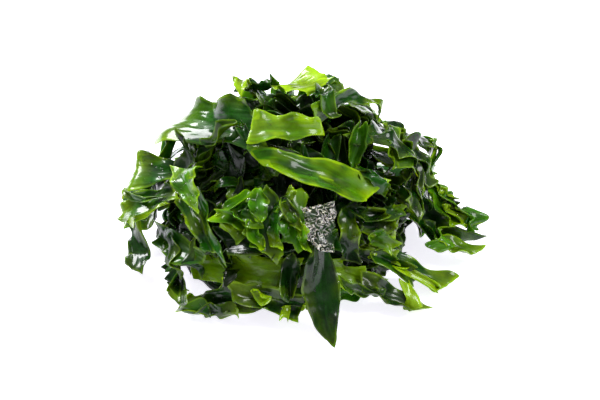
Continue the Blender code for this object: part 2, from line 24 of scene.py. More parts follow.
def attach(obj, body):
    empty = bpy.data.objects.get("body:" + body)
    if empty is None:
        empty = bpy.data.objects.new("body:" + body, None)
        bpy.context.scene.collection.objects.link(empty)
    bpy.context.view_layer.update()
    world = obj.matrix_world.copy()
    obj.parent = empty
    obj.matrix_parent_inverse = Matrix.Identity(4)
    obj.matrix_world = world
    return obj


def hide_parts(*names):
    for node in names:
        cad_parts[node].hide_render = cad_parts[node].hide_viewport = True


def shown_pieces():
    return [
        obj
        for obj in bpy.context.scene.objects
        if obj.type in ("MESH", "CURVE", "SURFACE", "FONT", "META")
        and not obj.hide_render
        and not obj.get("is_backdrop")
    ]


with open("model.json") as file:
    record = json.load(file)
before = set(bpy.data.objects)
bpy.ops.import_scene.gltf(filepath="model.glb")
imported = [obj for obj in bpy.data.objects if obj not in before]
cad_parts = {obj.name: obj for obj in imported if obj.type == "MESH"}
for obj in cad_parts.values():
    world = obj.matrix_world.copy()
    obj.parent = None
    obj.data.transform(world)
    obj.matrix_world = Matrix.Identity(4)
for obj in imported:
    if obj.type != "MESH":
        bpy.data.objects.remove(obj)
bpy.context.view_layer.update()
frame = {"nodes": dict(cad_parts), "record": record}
SOLIDS = frame["nodes"]
SLOT_OF = {part["node"]: part["material_slot"] for part in frame["record"]["subparts"]}

bl_info = {
    "name": "Heap of cut kelp",
    "version": (1, 0, 0),
    "blender": (4, 5, 0),
    "location": "View3D > Sidebar > Kelp",
    "description": "Wet, ruffled blades, scraps and drops of water for a heap of cut kelp",
    "category": "Object",
}

SEED = 11
LAY = "lay"
ROOT = "root"
MIDDLE = "packed_middle"
BLADE_LABEL = "kelp_"

# The photo in pixels: its size, and a point well inside the heap
PHOTO_SIZE = (600, 400)
PHOTO_HEAP = (300, 200)
# Into how many steps the way from a pixel to that point is cut, in the search for a place on the heap
PATIENCE = 50

# How near a solid's corners are merged, and what counts as its rim and as a corner of its outline
MERGE = 0.00001
RIM_ANGLE = math.radians(65)
CORNER_ANGLE = math.radians(35)
RIM_HEIGHT = 0.00078
CORNER_CREASE = 0.8
RIM_WEIGHT = 0.97

# The lowest that a piece reaches, and the levels of subdivision
LOWEST = 0.0001
FINE = 3
COARSE = 2
ROUGH = 1

# Random patterns that push a surface: their size, in folds on a blade and in metres on the middle
FOLD_PATTERN = 2.0
WRINKLE_PATTERN = 0.6
DENT_PATTERN = 0.006
DENT_HEIGHT = 0.003
PUCKER_PATTERN = 0.002
PUCKER_HEIGHT = 0.001

# Patterns of the skins, in waves to the metre, or to the fold along and across a blade
BLOTCHES = 70.0
SPECKS = 420.0
LIME_PATCHES = 110.0
CRINKLED_GLINTING_SPOTS = 120.0
MAZE_LINES = 360.0
STREAKS = (1.3, 3.6, 1.0)
PUCKERS = (4.0, 2.6, 1.0)
WATER_WAVES = 900.0
FLOOR_GRAIN = 30.0

# How much darker or lighter than the body of a blade its shades are: random blotches and streaks, the
# painted shade of pieces deep in the heap, and on crinkled patches a near-black ground under pale lines
# that are painted glints
BLOTCH_SHADE = 0.3
STREAK_SHADE = 1.8
PAINTED_SHADE_FACTOR = 0.15
CRINKLE_GROUND = (0.010, 0.012, 0.006)
PAINTED_GLINT_LINES = (0.82, 0.78, 0.70)

# The share of the way along a blade at which its lime tip starts
TIP_START = 0.6
# The middle has no margin, and lies deep, so it is darkened by painted shade
NO_MARGIN = 0.01
MIDDLE_PAINTED_SHADE = 0.6

# Where rays that look for the heap's surface start: this far from a point inside it, and how many may miss
DOME_CENTRE = Vector((0.0, 0.0, 0.012))
CAST = 0.12
TRIES = 1000

# A scrap is a grid of this many faces, with the places of its rows and columns from -0.5 to 0.5
SCRAP_ROWS = 8
SCRAP_COLUMNS = 4
SHARE = np.linspace(-0.5, 0.5, SCRAP_ROWS + 1)[:, None]
ACROSS = np.linspace(-0.5, 0.5, SCRAP_COLUMNS + 1)[None, :]

# The outline of a scrap: how narrow a row may be, how many taper to their ends and how much, and how
# ragged, slanting and curved it is
NARROWEST = 0.65
TAPERED = 0.5
TAPER = 2.6
RAGGED = 0.03
SLANT = 0.25
SWERVE = 0.6

# How a scrap lies: its bend, how deep and high it follows what is under it, and how it sags
BEND = (0.035, 0.060)
DEEPEST = -0.006
HIGHEST = 0.009
CLEARANCE = 0.0008
RAY_START = 0.030
RAY_LENGTH = 0.040
SAG_STEPS = 30
SAG = 0.0002
CUP = (-1.2, 2.6)
WAVE_HEIGHT = 0.0022
WAVES = (1.0, 2.4)
SCRAP_LOWEST = 0.0012

# Scraps laid at random: their lengths, widths, lime tips and lime edges
SCRAP_LENGTHS = (0.016, 0.030)
SCRAP_WIDTHS = (0.006, 0.014)
SCRAP_TIPS = (0.0, 0.0, 0.5, 1.0)
SCRAP_EDGES = (0.3, 1.0)
BURIED_EDGES = (0.1, 0.4)
FRONT_EDGE = 0.45
SCRAP_CALM = 0.6

# Drops: their form, how small they may be, the steepest place they cling to, and how many stand anywhere
DROP_FORM = (1.0, 1.0, 0.55)
DROP_SIZES = (0.25, 1.0)
DROP_STEEPEST = 0.2
STRAY_DROPS = 90
DROP_RISES = (0.1, 1.0)

# The stage: its floor, its two lamps, what they point at, and how the sky brightens towards the top
FLOOR_SIZE = 12.0
GRAIN_SHADE = 0.99
SENSOR = 36.0
LAMP_TARGET = (0.0, 0.0, 0.03)
KEY_LAMP = {"place": (-0.50, 0.55, 0.70), "size": (0.55, 0.35), "colour": (0.98, 0.97, 1.0)}
FILL_LAMP = {"place": (0.55, -0.15, 0.85), "size": (0.35, 0.35), "colour": (1.0, 1.0, 1.0)}
SKY_RISE = (0.35, 0.75)
SKY_COLOUR = (0.98, 0.98, 1.0, 1.0)


@dataclass
class Look:
    """How one blade differs: how wavy, how lime its right (above 0) or left end is, how crinkled it is with
    painted glints, how lime its margin is and how pale it is all over. The lime and the pallor are partly
    the blade's own paler green and partly painted light let through it."""

    calm: float = 1.0
    tip: float = 0.0
    crinkle: float = 0.0
    edge: float = 0.65
    pale: float = 0.0


# The blades that look unlike the rest
LOOKS = {
    "front_long": Look(calm=0.45, tip=0.55, edge=1.6),
    "light_flat": Look(calm=0.30, edge=1.4, pale=0.25),
    "wide_sheet": Look(calm=0.45, tip=-0.5, edge=0.5),
    "left_wing": Look(calm=0.5, tip=-0.6, edge=0.6),
    "crown_cup": Look(calm=0.5, edge=1.2),
    "bright_band": Look(calm=0.4, tip=0.3, edge=0.8, pale=0.45),
    "front_low": Look(calm=0.7, edge=0.6, pale=0.5),
    # The patched square is crinkled, with painted glints on its patches
    "patched_square": Look(calm=0.25, crinkle=1.0, edge=0.1),
    "front_lance": Look(calm=0.5, edge=0.3),
    "dark_cup": Look(calm=0.6, edge=0.3),
    "arched_strap": Look(calm=0.4, tip=0.2, edge=0.8),
    "upright_strap": Look(calm=0.5, edge=0.7),
    "right_low_near": Look(calm=0.7, tip=0.9, edge=0.6),
    "right_low_middle": Look(calm=0.6, tip=0.5, edge=1.2),
    "right_low_far": Look(calm=0.6, tip=0.9, edge=1.0),
    "far_right": Look(calm=0.7, tip=0.7),
    "left_tip": Look(calm=0.7, tip=-0.6),
    "left_hanging": Look(calm=0.6, edge=0.4),
    "low_left_outer": Look(calm=0.8, tip=-0.5, edge=0.7),
    "low_left_inner": Look(calm=0.8, tip=-0.4, edge=0.6),
    "sparkling": Look(calm=0.5, edge=1.0),
    "top_dark": Look(calm=0.7, edge=0.4),
    "dark_arch": Look(calm=0.6, tip=0.4, edge=0.5),
    "right_middle": Look(calm=0.8, tip=0.5),
    "lobes_left": Look(calm=0.7, tip=-0.5, edge=0.4),
    "lobes_middle": Look(calm=0.7, tip=0.4, edge=0.4),
    "lobes_right": Look(calm=0.7, tip=0.6, edge=0.4),
    "top_lime_tip": Look(calm=0.25, edge=0.3),
    "low_left_curl": Look(calm=0.8, edge=0.4),
    "low_left_turn": Look(calm=0.8, edge=0.4),
}


def colour_property(name, description, default):
    """A property that holds a colour."""
    return FloatVectorProperty(
        name=name, description=description, default=default, size=3, min=0.0, max=1.0, subtype="COLOR"
    )


def length_property(name, description, default):
    """A property that holds a length in metres."""
    return FloatProperty(name=name, description=description, default=default, min=0.0, subtype="DISTANCE")


def count_property(name, description, default):
    """A property that holds a number of pieces."""
    return IntProperty(name=name, description=description, default=default, min=0)


def power_property(name, description, default):
    """A property that holds a power in watts."""
    return FloatProperty(name=name, description=description, default=default, min=0.0, unit="POWER")


def strength_property(name, description, default):
    """A property that holds the strength of a light that has no lamp."""
    return FloatProperty(name=name, description=description, default=default, min=0.0)


class KelpColours(bpy.types.PropertyGroup):
    """The colours of the kelp and of the floor."""

    deep: colour_property("Deep green", "The thickest, oldest blades", (0.005, 0.032, 0.002))
    leaf: colour_property("Leaf green", "Most blades", (0.010, 0.074, 0.002))
    bright: colour_property("Bright green", "Thin blades that let light through", (0.046, 0.190, 0.002))
    lime: colour_property("Lime", "The thinnest blades and the margins", (0.270, 0.460, 0.002))
    floor: colour_property("Floor", "The white surface under the heap", (0.89, 0.87, 0.95))


class KelpSizes(bpy.types.PropertyGroup):
    """The sizes of the ruffles, folds, scraps and drops."""

    thickness: length_property("Thickness", "How thick a scrap of kelp is", 0.0006)
    margin: length_property("Margin width", "How wide the lime margin of a blade is", 0.0006)
    ruffle: length_property("Ruffle height", "How far a margin waves to and fro", 0.0024)
    ruffle_length: length_property("Ruffle length", "How far apart the waves of a margin are", 0.0130)
    fold: length_property("Fold height", "How deep the long folds of a blade are", 0.0034)
    fold_length: length_property("Fold length", "How long the folds of a blade are", 0.024)
    fold_width: length_property("Fold width", "How wide the folds of a blade are", 0.006)
    wrinkle: length_property("Wrinkle height", "How deep the fine wrinkles are", 0.0005)
    inner_scraps: count_property("Inner scraps", "How many fill the gaps", 150)
    foot_scraps: count_property("Foot scraps", "How many lie round the foot", 60)
    outer_scraps: count_property("Outer scraps", "How many lie on the back", 16)
    drop: length_property("Drop size", "How wide the largest drop of water is", 0.0016)


class KelpStage(bpy.types.PropertyGroup):
    """The camera and the lights."""

    distance: length_property("Camera distance", "From the camera to the point it looks at", 0.575)
    target: length_property("Target height", "How high the point it looks at is", 0.0185)
    aside: FloatProperty(
        name="Target aside", description="How far right of the middle it is", default=-0.002, unit="LENGTH"
    )
    elevation: FloatProperty(
        name="Camera elevation", description="How steeply the camera looks down", default=math.radians(36),
        subtype="ANGLE",
    )
    lens: FloatProperty(name="Lens", description="Focal length in millimetres", default=85.0, min=10.0)
    key: power_property("Key light", "Power of the lamp behind on the left", 17.0)
    fill: power_property("Fill light", "Power of the lamp on the right", 7.0)
    sky: strength_property("Sky", "Strength of the light from all round", 0.15)
    overhead: strength_property("Overhead", "Strength of the light from above", 0.60)
    glow: strength_property("Floor glow", "How much the floor shines of itself", 0.9)


class Socket:
    """A number that a material works out. Arithmetic on it adds the nodes that do the sum."""

    def __init__(self, skin, socket):
        self.skin = skin
        self.socket = socket

    def sum(self, operation, *terms):
        """The result of one Math node on these terms."""
        return self.skin.node("ShaderNodeMath", {"operation": operation}, *terms)

    def __add__(self, other):
        return self.sum("ADD", self, other)

    __radd__ = __add__

    def __sub__(self, other):
        return self.sum("SUBTRACT", self, other)

    def __rsub__(self, other):
        return self.sum("SUBTRACT", other, self)

    def __mul__(self, other):
        return self.sum("MULTIPLY", self, other)

    __rmul__ = __mul__

    def __abs__(self):
        return self.sum("ABSOLUTE", self)

    def rise(self, low, high):
        """Goes smoothly from 0, where this is low, to 1, where it is high."""
        return self.skin.node(
            "ShaderNodeMapRange", {"interpolation_type": "SMOOTHSTEP"}, self, low, high, 0.0, 1.0
        )


class Skin:
    """A material under construction: its nodes, and its Principled shader."""

    def __init__(self, name):
        self.material = bpy.data.materials.new(name)
        self.material.use_nodes = True
        self.tree = self.material.node_tree
        self.shader = self.tree.nodes["Principled BSDF"]

    def node(self, kind, settings, *values, output=0, **named):
        """Adds a node, applies its settings, then fills its inputs in order and by name."""
        made = self.tree.nodes.new(kind)
        for name, value in settings.items():
            setattr(made, name, value)
        for place, value in [*enumerate(values), *named.items()]:
            self.fill(made.inputs[place], value)
        return Socket(self, made.outputs[output])

    def fill(self, socket, value):
        """Links a socket to a worked-out value, or sets it to a constant."""
        if isinstance(value, Socket):
            self.tree.links.new(value.socket, socket)
        else:
            socket.default_value = value

    def finish(self, **inputs):
        """Fills the shader's sockets, whose names are given with _ for a space."""
        for name, value in inputs.items():
            self.fill(self.shader.inputs[name.replace("_", " ")], value)
        return self.material

    def attribute(self, name):
        """A number that is stored on the mesh."""
        return self.node("ShaderNodeAttribute", {"attribute_name": name}, output="Fac")

    def place(self):
        """The Object coordinates, in metres."""
        return self.node("ShaderNodeTexCoord", {}, output="Object")

    def along(self, scale):
        """The blade's own coordinates, in long folds along it and across it, stretched."""
        raw = self.node("ShaderNodeUVMap", {"uv_map": LAY}, output="UV")
        return self.node("ShaderNodeMapping", {}, raw, Scale=scale)

    def noise(self, where, scale, detail=2.0, distortion=0.0):
        """Noise from 0 to 1, with about this many waves to each unit of the coordinates."""
        named = {"Scale": scale, "Detail": detail, "Distortion": distortion}
        return self.node("ShaderNodeTexNoise", {}, where, **named, output="Fac")

    def mix(self, share, low, high):
        """Goes from one colour to another by share."""
        made = self.tree.nodes.new("ShaderNodeMix")
        made.data_type = "RGBA"
        sockets = {socket.identifier: socket for socket in (*made.inputs, *made.outputs)}
        self.fill(sockets["Factor_Float"], share)
        for name, colour in (("A_Color", low), ("B_Color", high)):
            self.fill(sockets[name], colour if isinstance(colour, Socket) else (*colour, 1.0))
        return Socket(self, sockets["Result_Color"])


def shaded(colour, factor):
    """A colour made this many times as light."""
    return tuple(min(1.0, factor * part) for part in colour)


def kelp_skin(name, body, lime, margin):
    """Wet kelp of one green: blotched, streaked along the blade, lime at the margin and the tip (partly its
    own paler green, partly painted light let through it), darkened by painted shade where it lies deep,
    with painted glints on crinkled patches, in a film of water.
    """
    skin = Skin(name)
    place = skin.place()
    blotch = skin.noise(place, BLOTCHES, detail=3.0)
    speck = skin.noise(place, SPECKS, detail=3.0)
    streak = skin.noise(skin.along(STREAKS), 1.0, detail=3.0, distortion=0.6)
    pucker = skin.noise(skin.along(PUCKERS), 1.0, distortion=0.4)
    lime_patches = skin.noise(place, LIME_PATCHES, detail=1.0)
    wave = skin.noise(place, MAZE_LINES, detail=1.0, distortion=2.0) - 0.5
    crinkled_glinting = skin.noise(place, CRINKLED_GLINTING_SPOTS).rise(0.36, 0.50) * skin.attribute("crinkle")
    maze = (1.0 - abs(wave).rise(0.01, 0.06)) * crinkled_glinting

    # Lime at the margin, near it and at the tip: partly the thin tissue's own paler green, partly painted
    # light let through it
    edge = skin.attribute("edge")
    from_rim = skin.attribute("margin") + (speck - 0.5) * margin
    rim = (1.0 - from_rim.rise(margin * 0.2, margin)) * edge
    near_rim = (1.0 - from_rim.rise(0.0, margin * 9.0)) * lime_patches.rise(0.42, 0.62) * edge

    colour = skin.mix(blotch.rise(0.36, 0.66), shaded(body, BLOTCH_SHADE), body)
    colour = skin.mix(streak.rise(0.48, 0.72) * 0.40, colour, shaded(body, STREAK_SHADE))
    # Lime near the margin, at the tip, all over pale blades and along the rim: partly own paler green,
    # partly painted light let through
    colour = skin.mix(near_rim * 0.30 + skin.attribute("tip") * 0.75, colour, lime)
    colour = skin.mix(rim * (lime_patches.rise(0.35, 0.6) * 0.50 + 0.10), colour, lime)
    # Painted shade: pieces that lie deep in the heap are darkened towards a fraction of their body colour
    colour = skin.mix(skin.attribute("buried"), colour, shaded(body, PAINTED_SHADE_FACTOR))
    # Crinkled patches: a near-black ground, and pale maze lines that are painted glints of the wet film;
    # the maze also raises a real bump
    colour = skin.mix(crinkled_glinting * 0.7, colour, CRINKLE_GROUND)
    colour = skin.mix(maze * 0.85, colour, PAINTED_GLINT_LINES)

    relief = streak * 0.8 + pucker * 0.35 + speck * 0.08 + maze * 2.5
    bump = skin.node("ShaderNodeBump", {}, Strength=0.40, Distance=0.0006, Height=relief, output="Normal")
    return skin.finish(
        Base_Color=colour,
        Roughness=0.20 + speck * 0.16,
        Normal=bump,
        IOR=1.22,
        Coat_Weight=0.10 + blotch * 0.80,
        Coat_Roughness=0.05,
        Coat_IOR=1.36,
        Subsurface_Weight=0.22,
        Subsurface_Radius=(0.6, 1.0, 0.15),
        Subsurface_Scale=0.0016,
    )


def only(piece):
    """Selects this piece alone and makes it active."""
    bpy.ops.object.select_all(action="DESELECT")
    piece.select_set(True)
    bpy.context.view_layer.objects.active = piece


def modify(piece, kind, **settings):
    """Adds a modifier with these settings and applies it."""
    modifier = piece.modifiers.new(kind.title(), kind)
    for name, value in settings.items():
        setattr(modifier, name, value)
    only(piece)
    bpy.ops.object.modifier_apply(modifier=modifier.name)


def clouds(name, size, depth=2):
    """A soft random pattern of this size, made once, that pushes each way on its own."""
    if name in bpy.data.textures:
        return bpy.data.textures[name]
    pattern = bpy.data.textures.new(name, "CLOUDS")
    pattern.cloud_type = "COLOR"
    pattern.noise_scale = size
    pattern.noise_depth = depth
    return pattern


def push(piece, pattern, strength, group="", coordinates="LOCAL"):
    """Moves a piece's surface to and fro by a random pattern, both faces together."""
    modify(
        piece,
        "DISPLACE",
        texture=pattern,
        texture_coords=coordinates,
        direction="RGB_TO_XYZ",
        mid_level=0.5,
        strength=strength,
        vertex_group=group,
    )


def merged_copy(node):
    """A copy of a solid with its corners merged, its faces paired into quads and no edge marked sharp."""
    piece = bpy.data.objects.new(BLADE_LABEL + node, SOLIDS[node].data.copy())
    bpy.context.scene.collection.objects.link(piece)
    only(piece)
    bpy.ops.mesh.customdata_custom_splitnormals_clear()
    bpy.ops.object.mode_set(mode="EDIT")
    bpy.ops.mesh.select_all(action="SELECT")
    bpy.ops.mesh.remove_doubles(threshold=MERGE)
    bpy.ops.mesh.mark_sharp(clear=True)
    bpy.ops.mesh.tris_convert_to_quads(face_threshold=math.pi, shape_threshold=math.pi)
    bpy.ops.object.mode_set(mode="OBJECT")
    return piece


def mark_rim(piece):
    """Creases the corners of a blade's outline, and puts its rim in the vertex group "rim"."""
    shape = bmesh.new()
    shape.from_mesh(piece.data)
    crease = shape.edges.layers.float.new("crease_edge")
    rim = set()
    for edge in shape.edges:
        turn = edge.calc_face_angle(0.0)
        if edge.calc_length() < RIM_HEIGHT and turn > CORNER_ANGLE:
            edge[crease] = CORNER_CREASE
        elif turn > RIM_ANGLE:
            rim.update(corner.index for corner in edge.verts)
    shape.to_mesh(piece.data)
    shape.free()
    group = piece.vertex_groups.new(name="rim")
    group.add(sorted(rim), 1.0, "REPLACE")


def points_of(mesh):
    """The mesh's vertices as an array."""
    points = np.zeros(len(mesh.vertices) * 3)
    mesh.vertices.foreach_get("co", points)
    return points.reshape(-1, 3)


def lift_to_floor(piece):
    """Lifts what the pushing drove into the floor, and returns the points."""
    points = points_of(piece.data)
    points[:, 2] = np.maximum(points[:, 2], LOWEST)
    piece.data.vertices.foreach_set("co", points.astype(np.float32).ravel())
    return points


def store(mesh, **facts):
    """Stores facts about each vertex: one number for them all, or one for each."""
    for name, values in facts.items():
        layer = mesh.attributes.new(name, "FLOAT", "POINT")
        layer.data.foreach_set("value", np.broadcast_to(values, len(mesh.vertices)).astype(np.float32))


def store_lay(mesh, lay):
    """Stores each vertex's place along and across the blade, in folds, as a UV map."""
    sizes = bpy.context.scene.kelp_sizes
    corners = np.zeros(len(mesh.loops), int)
    mesh.loops.foreach_get("vertex_index", corners)
    while mesh.uv_layers:
        mesh.uv_layers.remove(mesh.uv_layers[0])
    layer = mesh.uv_layers.new(name=LAY)
    folds = lay / (sizes.fold_length, sizes.fold_width)
    layer.data.foreach_set("uv", folds[corners].astype(np.float32).ravel())


def store_margin(piece):
    """Stores each point's distance from the rim."""
    points = points_of(piece.data)
    group = piece.vertex_groups["rim"].index
    rim = [
        vertex.index
        for vertex in piece.data.vertices
        if any(member.group == group and member.weight > RIM_WEIGHT for member in vertex.groups)
    ]
    tree = KDTree(len(rim))
    for index in rim:
        tree.insert(points[index], index)
    tree.balance()
    store(piece.data, margin=[tree.find(point)[2] for point in points])


def tip_share(along):
    """How far into a lime tip each point is, from the share of the way along at which it lies."""
    return np.clip((along - TIP_START) / (1 - TIP_START), 0, 1)


def store_blade_facts(piece, look):
    """Stores a blade's lay, how lime its tip and its margin are, how crinkled it is with painted glints,
    and that it has no painted shade.
    """
    points = points_of(piece.data)
    _, _, axes = np.linalg.svd(points - points.mean(0), full_matrices=False)
    axes[0] *= math.copysign(1.0, axes[0, 0] * (look.tip or 1.0))
    lay = points @ axes.T
    store_lay(piece.data, lay[:, :2])
    along = (lay[:, 0] - lay[:, 0].min()) / np.ptp(lay[:, 0])
    tip = np.maximum(look.pale, abs(look.tip) * tip_share(along))
    store(piece.data, tip=tip, crinkle=look.crinkle, edge=look.edge, buried=0.0)


def skin_of(slot):
    """The wet skin of one of the record's slots, made once."""
    name = "wet_" + slot
    if name in bpy.data.materials:
        return bpy.data.materials[name]
    colours, sizes = bpy.context.scene.kelp_colours, bpy.context.scene.kelp_sizes
    body = getattr(colours, slot.removesuffix("_green"))
    return kelp_skin(name, tuple(body), tuple(colours.lime), sizes.margin)


def dress(piece, slot, *nodes):
    """Gives a finished piece the skin of its slot, attaches it to its body and hides the solids it stands
    for.
    """
    piece.vertex_groups.clear()
    piece.data.materials.clear()
    piece.data.materials.append(skin_of(slot))
    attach(piece, ROOT)
    if nodes:
        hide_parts(*nodes)


def refine(piece, levels, calm):
    """Smooths a coarse blade, then gives it long folds, a ruffled rim and fine wrinkles."""
    sizes = bpy.context.scene.kelp_sizes
    modify(piece, "SUBSURF", levels=levels, render_levels=levels)
    bpy.ops.object.shade_smooth()
    push(piece, clouds("folds", FOLD_PATTERN), sizes.fold * calm, coordinates="UV")
    push(piece, clouds("ruffle", sizes.ruffle_length), sizes.ruffle * calm, "rim")
    push(piece, clouds("wrinkles", WRINKLE_PATTERN, 1), sizes.wrinkle, coordinates="UV")
    lift_to_floor(piece)
    store_margin(piece)


def ruffled_blade(node, levels):
    """Makes the finer piece that stands for one solid blade."""
    look = LOOKS.get(node, Look())
    piece = merged_copy(node)
    mark_rim(piece)
    store_blade_facts(piece, look)
    refine(piece, levels, look.calm)
    dress(piece, SLOT_OF[node], node)


class KELP_OT_middle(bpy.types.Operator):
    """Make the dark tangle in the middle of the heap"""

    bl_idname = "kelp.middle"
    bl_label = "Packed middle"

    def execute(self, context):
        piece = merged_copy(MIDDLE)
        modify(piece, "SUBSURF", subdivision_type="SIMPLE", levels=ROUGH, render_levels=ROUGH)
        bpy.ops.object.shade_smooth()
        push(piece, clouds("dents", DENT_PATTERN), DENT_HEIGHT)
        push(piece, clouds("puckers", PUCKER_PATTERN, 1), PUCKER_HEIGHT)
        points = lift_to_floor(piece)
        store_lay(piece.data, points[:, :2])
        # Painted shade darkens the middle, as it lies deep in the heap
        store(piece.data, margin=NO_MARGIN, tip=0.0, crinkle=0.0, edge=0.0, buried=MIDDLE_PAINTED_SHADE)
        dress(piece, "deep_green", MIDDLE)
        return {"FINISHED"}


class KELP_OT_blades(bpy.types.Operator):
    """Make the ruffled blades that stand for the solid ones"""

    bl_idname = "kelp.blades"
    bl_label = "Blades"

    def execute(self, context):
        # The numbered blades lie at the back and beneath
        for node in sorted(SOLIDS):
            if node != MIDDLE:
                ruffled_blade(node, COARSE if node[-1].isdigit() else FINE)
        return {"FINISHED"}


def tree_of(pieces):
    """The triangles of these pieces, to cast rays on."""
    points, faces = [], []
    for piece in pieces:
        piece.data.calc_loop_triangles()
        start = len(points)
        points += [v.co for v in piece.data.vertices]
        faces += [[start + i for i in t.vertices] for t in piece.data.loop_triangles]
    return BVHTree.FromPolygons(points, faces)


def tree_of_blades():
    """The finished blades and the middle, to cast rays on."""
    return tree_of([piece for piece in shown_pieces() if piece.name.startswith(BLADE_LABEL)])


def direction(turn, rise):
    """The direction that points this far round the heap and this far up."""
    return Vector((math.cos(turn) * math.cos(rise), math.sin(turn) * math.cos(rise), math.sin(rise)))


def cast_inward(tree, outward):
    """Where a ray from outside meets what the tree holds, on its way to the middle of the heap."""
    return tree.ray_cast(DOME_CENTRE + outward * CAST, -outward, CAST)


def smoothed(values, times, sag):
    """The heights of a limp sheet that rests on these, sagging between them."""
    raised = values
    for _ in range(times):
        for axis in (0, 1):
            padded = np.pad(raised, [(1, 1) if a == axis else (0, 0) for a in (0, 1)], mode="edge")
            before, after = np.delete(padded, [-1, -2], axis), np.delete(padded, [0, 1], axis)
            raised = (before + 2 * raised + after) / 4
        raised = np.maximum(values, raised - sag)
    return raised


def scrap_place(tree, draw, rises, bearings):
    """A random point on what the tree holds, seen from outside, and the outward direction there."""
    for _ in range(TRIES):
        turn, rise = math.radians(draw.uniform(*bearings)), math.asin(draw.uniform(*rises))
        outward = direction(turn, rise)
        place = cast_inward(tree, outward)[0]
        if place:
            return place, outward
    raise RuntimeError("no ray from outside meets the heap")


def scrap_outline(long, wide, draw):
    """How far along and aside of its middle each point of a ragged scrap lies."""
    width = np.array([draw.uniform(NARROWEST, 1.0) for _ in SHARE])[:, None]
    if draw.random() < TAPERED:
        width *= np.cos(SHARE * TAPER)
    ragged = np.array([[draw.uniform(-1, 1) for _ in ACROSS[0]] for _ in SHARE])
    slant = wide * SLANT * ACROSS * np.sign(SHARE) * draw.uniform(-1, 1)
    along = long * (SHARE + RAGGED * ragged) + slant
    aside = wide * ACROSS * width + long * draw.uniform(-SWERVE, SWERVE) * SHARE**2
    return along, aside


def ground_under(tree, flat, outward):
    """How far outward of each point of a flat sheet the scrap has to lie to rest on what the tree holds."""
    under = np.full(flat.shape[:2], DEEPEST)
    for index in np.ndindex(under.shape):
        distance = tree.ray_cast(Vector(flat[index]) + outward * RAY_START, -outward, RAY_LENGTH)[3]
        if distance is not None:
            under[index] = np.clip(RAY_START - distance, DEEPEST, HIGHEST) + CLEARANCE
    return under


def scrap_sheet(tree, place, outward, ahead, long, wide, lifts, draw):
    """The sheet of one scrap, laid on what the tree holds, with its ends lifted by these lengths."""
    left = outward.cross(ahead)
    bend = draw.uniform(*BEND)
    along, aside = scrap_outline(long, wide, draw)
    flat = np.array(place) + along[..., None] * np.array(ahead) + aside[..., None] * np.array(left)
    flat -= ((along**2 + aside**2) / (2 * bend))[..., None] * np.array(outward)
    height = smoothed(ground_under(tree, flat, outward), SAG_STEPS, SAG)
    height = height + lifts[0] * (0.5 - SHARE) ** 2 + lifts[1] * (0.5 + SHARE) ** 2
    height = height + draw.uniform(*CUP) * wide * ACROSS**2
    phase = SHARE * draw.uniform(*WAVES) + draw.random()
    height = height + WAVE_HEIGHT * np.abs(2 * ACROSS) * np.sin(2 * math.pi * phase)
    sheet = flat + height[..., None] * np.array(outward)
    sheet[..., 2] = np.maximum(sheet[..., 2], SCRAP_LOWEST)
    return sheet


def scrap_piece(name, sheet, tip, edge, buried, draw):
    """A grid with its vertices on this sheet, ready to be joined with others and given a thickness."""
    bpy.ops.object.select_all(action="DESELECT")
    bpy.ops.mesh.primitive_grid_add(x_subdivisions=SCRAP_COLUMNS, y_subdivisions=SCRAP_ROWS, size=1.0)
    piece = bpy.context.object
    piece.name = name
    mesh = piece.data
    points = points_of(mesh)
    row = np.rint((points[:, 1] + 0.5) * SCRAP_ROWS).astype(int)
    column = np.rint((points[:, 0] + 0.5) * SCRAP_COLUMNS).astype(int)
    mesh.vertices.foreach_set("co", sheet[row, column].astype(np.float32).ravel())
    mesh.update()
    long = np.linalg.norm(sheet[-1, SCRAP_COLUMNS // 2] - sheet[0, SCRAP_COLUMNS // 2])
    wide = np.linalg.norm(sheet[SCRAP_ROWS // 2, -1] - sheet[SCRAP_ROWS // 2, 0])
    lay = np.stack([long * row / SCRAP_ROWS, wide * column / SCRAP_COLUMNS], 1)
    store_lay(mesh, lay + draw.uniform(0, 1))
    on_rim = (row % SCRAP_ROWS == 0) | (column % SCRAP_COLUMNS == 0)
    piece.vertex_groups.new(name="rim").add(np.flatnonzero(on_rim).tolist(), 1.0, "REPLACE")
    store(mesh, tip=tip * tip_share(row / SCRAP_ROWS), crinkle=0.0, edge=edge, buried=buried)
    return piece


def joined(pieces, name):
    """These pieces as one."""
    bpy.ops.object.select_all(action="DESELECT")
    for piece in pieces:
        piece.select_set(True)
    bpy.context.view_layer.objects.active = pieces[0]
    bpy.ops.object.join()
    pieces[0].name = name
    return pieces[0]


def finish_scraps(label, made, levels):
    """Joins the scraps of each green, gives them a thickness and finishes them."""
    sizes = bpy.context.scene.kelp_sizes
    for green, pieces in made.items():
        piece = joined(pieces, f"{label}_{green}")
        modify(piece, "SOLIDIFY", thickness=sizes.thickness, offset=0.0)
        refine(piece, levels, SCRAP_CALM)
        dress(piece, green)


@dataclass
class Scatter:
    """Scraps laid at random: from how low to how high (1 is straight up), how far their ends are lifted,
    their greens, between which bearings in degrees, and how much painted shade darkens them as they lie
    deep."""

    label: str
    rises: tuple
    lifts: tuple
    greens: tuple
    bearings: tuple = (-180, 180)
    buried: float = 0.0


DARK_GREENS = ("deep_green", "deep_green", "deep_green", "deep_green", "leaf_green", "deep_green")
# Painted shade darkens the inner scraps and those round the foot, as they lie deep in the heap
INNER = Scatter("inner_scraps", (0.0, 1.0), (0.0, 0.008), DARK_GREENS, buried=0.45)
FOOT = Scatter("foot_scraps", (-0.2, 0.15), (0.0, 0.003), DARK_GREENS, buried=0.25)
OUTER = Scatter("outer_scraps", (0.1, 0.7), (0.0, 0.003), ("leaf_green", "bright_green"), (10, 170))


